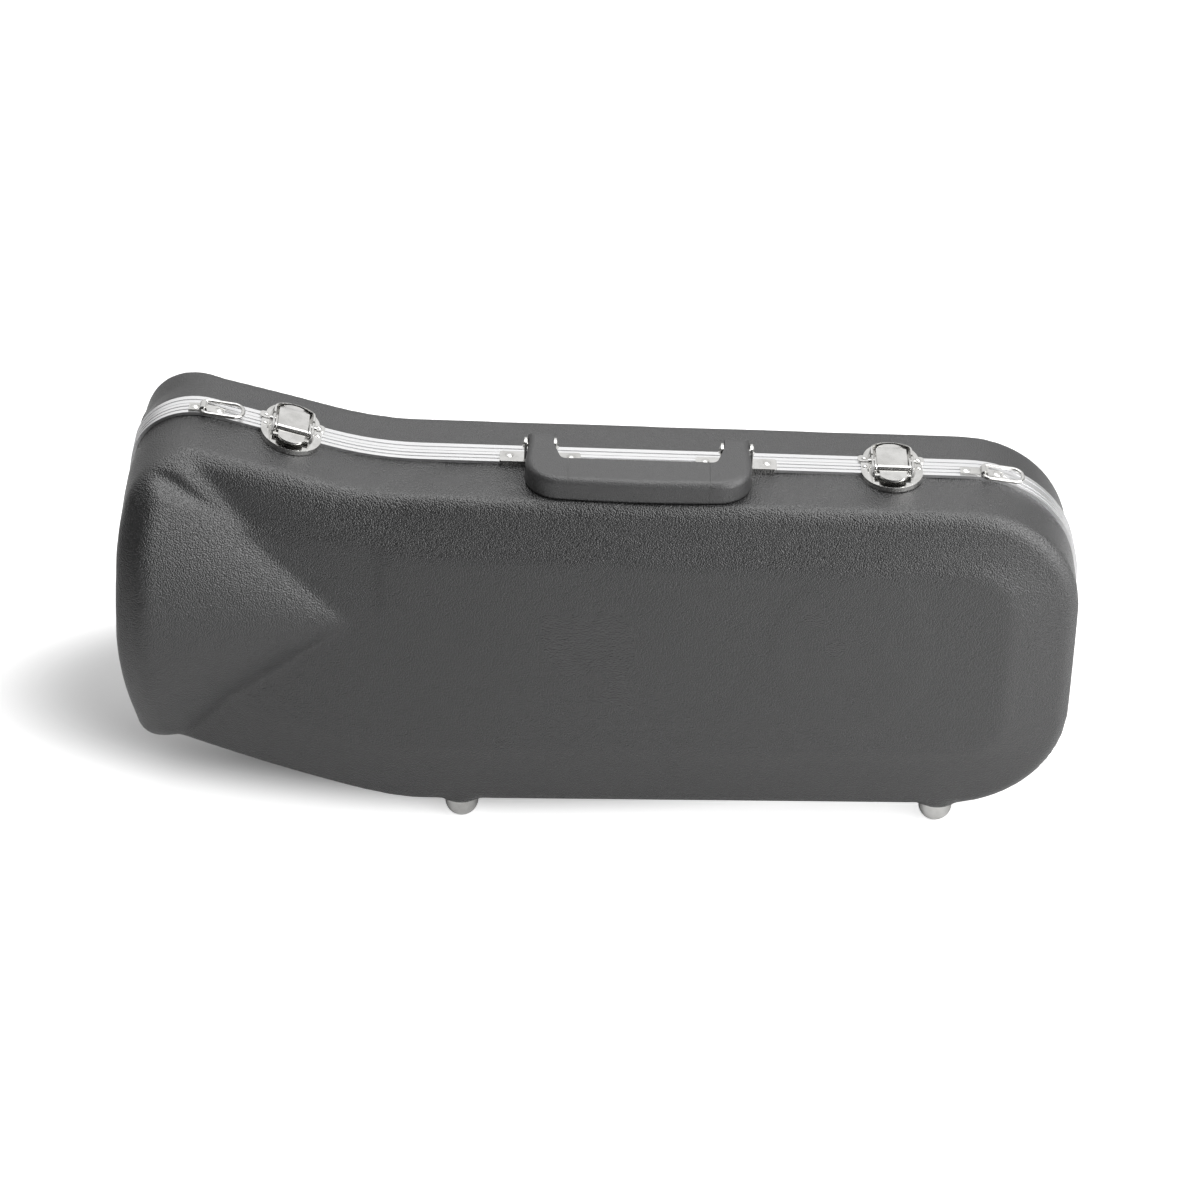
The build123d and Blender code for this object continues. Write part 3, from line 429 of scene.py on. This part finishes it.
def mouldPoint(point, normal, side, extra):
    # side is -1 for the base and 1 for the lid; extra is how far inside the shell's skin the point lies
    depth = (point.y - seamY) * side
    share = easeIn(depth)
    if share == 0:
        return point
    flat = Vector((point.x, point.z))
    away = awayFromMiddle(flat)
    facing = Vector((normal.x, normal.z)).dot(away)
    tilted = moulding["tilted"]
    if extra == 0 and (normal.y * side < -tilted or abs(normal.y) < tilted and facing < 0):
        extra = moulding["wall"]                # a point on the inner skin
    upright = holdShare((abs(facing) - moulding["uprightFrom"]) / moulding["uprightOver"])
    flat += away * upright * moulding["sideEase"] * (depth - moulding["collar"])
    for move, height, spread in moulding["endShifts"]:
        near = holdShare((moulding["endFrom"] - flat.x) / moulding["endOver"])
        flat.x += move * near * share * math.exp(-(((flat.y - height) / spread) ** 2))
    inset = moulding["inset"] + moulding["draft"] * max(depth - moulding["draftFrom"], 0.0) + extra
    if side < 0:
        clipBelly(flat, inset, share)
        depth = cutFacet(flat, depth, extra)
    else:
        clipPeak(flat, inset, share)
    low = cadLow.x + moulding["boxMargin"] + extra
    return Vector((max(flat.x, low), seamY + depth * side, flat.y))


def mouldShell(name, side):
    piece = cleanCopy(name, name + "_moulded")
    bpy.context.view_layer.objects.active = piece
    addModifier(piece, "REMESH", mode="VOXEL", voxel_size=moulding["voxel"], use_smooth_shade=True)
    bpy.ops.object.modifier_apply(modifier="remesh")
    moved = [mouldPoint(vertex.co, vertex.normal, side, 0) for vertex in piece.data.vertices]
    for vertex, place in zip(piece.data.vertices, moved):
        vertex.co = place
    addModifier(piece, "SMOOTH", factor=0.5, iterations=moulding["passes"])
    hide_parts(name)
    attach(piece, bodyOf[name])


mouldShell("base_shell", -1)
mouldShell("lid_shell", 1)
print("shells moulded")

edgeRounds = {      # metres of rounding on the edges of each kind of fitting
    "handle_frame": 0.0016, "handle_grip": 0.0018, "handle_bracket": 0.0003,
    "latch": 0.0002, "clip": 0.0002, "hinge": 0.00015, "rim": 0.00012,
}
edgeWork = {"steps": 2, "sharpDegrees": 38, "evenness": 60}


def roundEdges():
    for name in sorted(nodes):
        widths = [edgeRounds[kind] for kind in edgeRounds if kind in name]
        if not widths or "rivets" in name or "pin" in name:
            continue
        piece = cleanCopy(name, name + "_finished")
        addModifier(piece, "BEVEL", width=widths[0], segments=edgeWork["steps"], limit_method="ANGLE",
                    angle_limit=math.radians(edgeWork["sharpDegrees"]), miter_outer="MITER_ARC")
        addModifier(piece, "WEIGHTED_NORMAL", keep_sharp=True, weight=edgeWork["evenness"])
        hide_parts(name)
        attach(piece, bodyOf[name])


roundEdges()
print("fittings' edges rounded")

# ---- padded linings

padding = {
    "voxel": 0.005, "blockVoxel": 0.0025, "passes": 4,
    "inside": 0.0046, "shrink": 0.0015,         # distances in from the shell's skin and the plain lining
    "cap": 0.0035, "frames": 20, "quality": 5, "pressure": 4.0,
}


def padPiece(name, newName, voxel):
    piece = cleanCopy(name, newName)
    bpy.context.view_layer.objects.active = piece
    addModifier(piece, "REMESH", mode="VOXEL", voxel_size=voxel, use_smooth_shade=True)
    addModifier(piece, "SMOOTH", factor=0.5, iterations=padding["passes"])
    bpy.ops.object.modifier_apply(modifier="remesh")
    bpy.ops.object.modifier_apply(modifier="smooth")
    side = -1 if bodyOf[name] == "base" else 1
    for vertex in piece.data.vertices:
        place = vertex.co - vertex.normal * padding["shrink"]
        vertex.co = mouldPoint(place, vertex.normal, side, padding["inside"])
    start = [vertex.co.copy() for vertex in piece.data.vertices]
    cloth = addModifier(piece, "CLOTH")
    cloth.settings.quality = padding["quality"]
    cloth.settings.use_pressure = True
    cloth.settings.uniform_pressure_force = padding["pressure"]
    cloth.settings.effector_weights.gravity = 0
    cloth.point_cache.frame_start = 1
    cloth.point_cache.frame_end = padding["frames"]
    for step in range(1, padding["frames"] + 1):
        scene.frame_set(step)
    bpy.ops.object.modifier_apply(modifier="cloth")
    scene.frame_set(1)
    for vertex, home in zip(piece.data.vertices, start):
        move = vertex.co - home
        if move.length > padding["cap"]:
            vertex.co = home + move.normalized() * padding["cap"]
    addModifier(piece, "SUBSURF", levels=1, render_levels=1)
    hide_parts(name)
    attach(piece, bodyOf[name])


padPiece("base_lining", "base_padding", padding["voxel"])
padPiece("lid_lining", "lid_padding", padding["voxel"])
padPiece("mouthpiece_block", "mouthpiece_pad", padding["blockVoxel"])
print("linings padded")

# ---- floor and light

studio = {
    "floor": 0.78, "floorWide": 12.0, "floorFront": -0.6, "floorBack": 6.0,
    # painted shade on the floor: an ellipse about the case, off to its left, where the camera's glow is
    # held off so the lamps' shadow shows, fading to white beyond it
    "paintedShadeMiddle": (-0.07, 0.1), "paintedShadeReach": (0.36, 0.13), "paintedShadeFadeFrom": 0.7, "paintedShadeFadeTo": 1.05,
    "glowInPaintedShade": 0.0, "glowPastPaintedShade": 0.75, "glossShare": 0.0,
    "surround": 0.38, "frontDark": 0.08, "backLean": 0.6, "upLean": 0.8, "paleFrom": 0.25, "paleTo": 0.8,
    "aim": (0, 0, 0.13),
    "topPower": 11.0, "topSize": (1.5, 1.0), "topPlace": (0.15, 0.1, 1.5),
    "flankPower": 5.0, "flankSize": (0.7, 0.7), "flankPlace": (0.75, -1.3, 0.5),
    "sidePower": 20.0, "sideSize": (1.3, 1.3), "sidePlace": (1.15, -0.45, 0.75),
}


def layFloor():
    work = bmesh.new()
    bmesh.ops.create_grid(work, x_segments=1, y_segments=1, size=0.5)
    deep = studio["floorBack"] - studio["floorFront"]
    bmesh.ops.scale(work, vec=(studio["floorWide"], deep, 1), verts=work.verts)
    bmesh.ops.translate(work, vec=(0, studio["floorFront"] + deep / 2, 0), verts=work.verts)
    mesh = bpy.data.meshes.new("floor")
    work.to_mesh(mesh)
    work.free()
    floor = bpy.data.objects.new("floor", mesh)
    scene.collection.objects.link(floor)
    material = bpy.data.materials.new("pale floor with painted shade")
    material.use_nodes = True
    tree = material.node_tree
    tree.nodes.remove(tree.nodes["Principled BSDF"])
    lit = addNode(tree, "ShaderNodeBsdfDiffuse", None, Color=(studio["floor"],) * 3 + (1,))
    path = addNode(tree, "ShaderNodeLightPath")
    # painted shade: inside this ellipse the glow is held off and the lamps' real shadow shows; the
    # ellipse's size and fade, not the lamps, set how far the shadow reaches and where the floor turns white
    centred = addNode(tree, "ShaderNodeVectorMath", {"operation": "SUBTRACT"},
                      i0=objectPlace(tree), i1=(*studio["paintedShadeMiddle"], 0))
    scaled = addNode(tree, "ShaderNodeVectorMath", {"operation": "DIVIDE"},
                     i0=centred.outputs[0], i1=(*studio["paintedShadeReach"], 1))
    reach = addNode(tree, "ShaderNodeVectorMath", {"operation": "LENGTH"}, i0=scaled.outputs[0])
    glowOutsidePaintedShade = ramp(tree, reach.outputs["Value"], studio["paintedShadeFadeFrom"], studio["paintedShadeFadeTo"],
                   studio["glowInPaintedShade"], studio["glowPastPaintedShade"])
    mirrored = mathNode(tree, "MAXIMUM", path.outputs["Is Glossy Ray"], path.outputs["Is Transmission Ray"])
    mirrored = mathNode(tree, "MULTIPLY", mirrored, studio["glossShare"])
    seen = mathNode(tree, "MAXIMUM", path.outputs["Is Camera Ray"], mirrored)
    glow = addNode(tree, "ShaderNodeEmission", None, Strength=mathNode(tree, "MULTIPLY", seen, glowOutsidePaintedShade))
    both = addNode(tree, "ShaderNodeAddShader", None, i0=lit.outputs[0], i1=glow.outputs[0])
    tree.links.new(both.outputs[0], tree.nodes["Material Output"].inputs[0])
    mesh.materials.append(material)


def addSoftbox(name, power, size, place):
    data = bpy.data.lights.new(name, "AREA")
    data.shape = "RECTANGLE"
    data.size, data.size_y = size
    data.energy = power
    lamp = bpy.data.objects.new(name, data)
    scene.collection.objects.link(lamp)
    lamp.location = place
    lamp.rotation_euler = (Vector(studio["aim"]) - Vector(place)).to_track_quat("-Z", "Y").to_euler()


def lightRoom():
    # a pale room that is open and dim on the side that the latches face
    world = bpy.data.worlds.new("room")
    scene.world = world
    world.use_nodes = True
    tree = world.node_tree
    room = tree.nodes["Background"]
    way = addNode(tree, "ShaderNodeTexCoord").outputs["Generated"]
    split = addNode(tree, "ShaderNodeSeparateXYZ", None, Vector=way)
    lean = mathNode(tree, "ADD", mathNode(tree, "MULTIPLY", split.outputs["Y"], studio["backLean"]),
                    mathNode(tree, "MULTIPLY", split.outputs["Z"], studio["upLean"]))
    pale = ramp(tree, lean, studio["paleFrom"], studio["paleTo"], studio["frontDark"], 1.0)
    path = addNode(tree, "ShaderNodeLightPath")
    seen = mathNode(tree, "ADD", path.outputs["Is Camera Ray"], path.outputs["Is Glossy Ray"], True)
    seen = mathNode(tree, "ADD", seen, path.outputs["Is Transmission Ray"], True)
    shown = mathNode(tree, "MAXIMUM", pale, path.outputs["Is Camera Ray"])
    lit = addNode(tree, "ShaderNodeMix", {"data_type": "FLOAT"}, i0=seen, i2=studio["surround"], i3=shown)
    tree.links.new(lit.outputs[0], room.inputs["Strength"])
    room.inputs["Color"].default_value = (1, 1, 1, 1)
    for kind in ("top", "flank", "side"):
        addSoftbox(kind + " softbox", *(studio[kind + part] for part in ("Power", "Size", "Place")))


layFloor()
lightRoom()
scene.view_settings.view_transform = "Standard"
print("floor and light set")
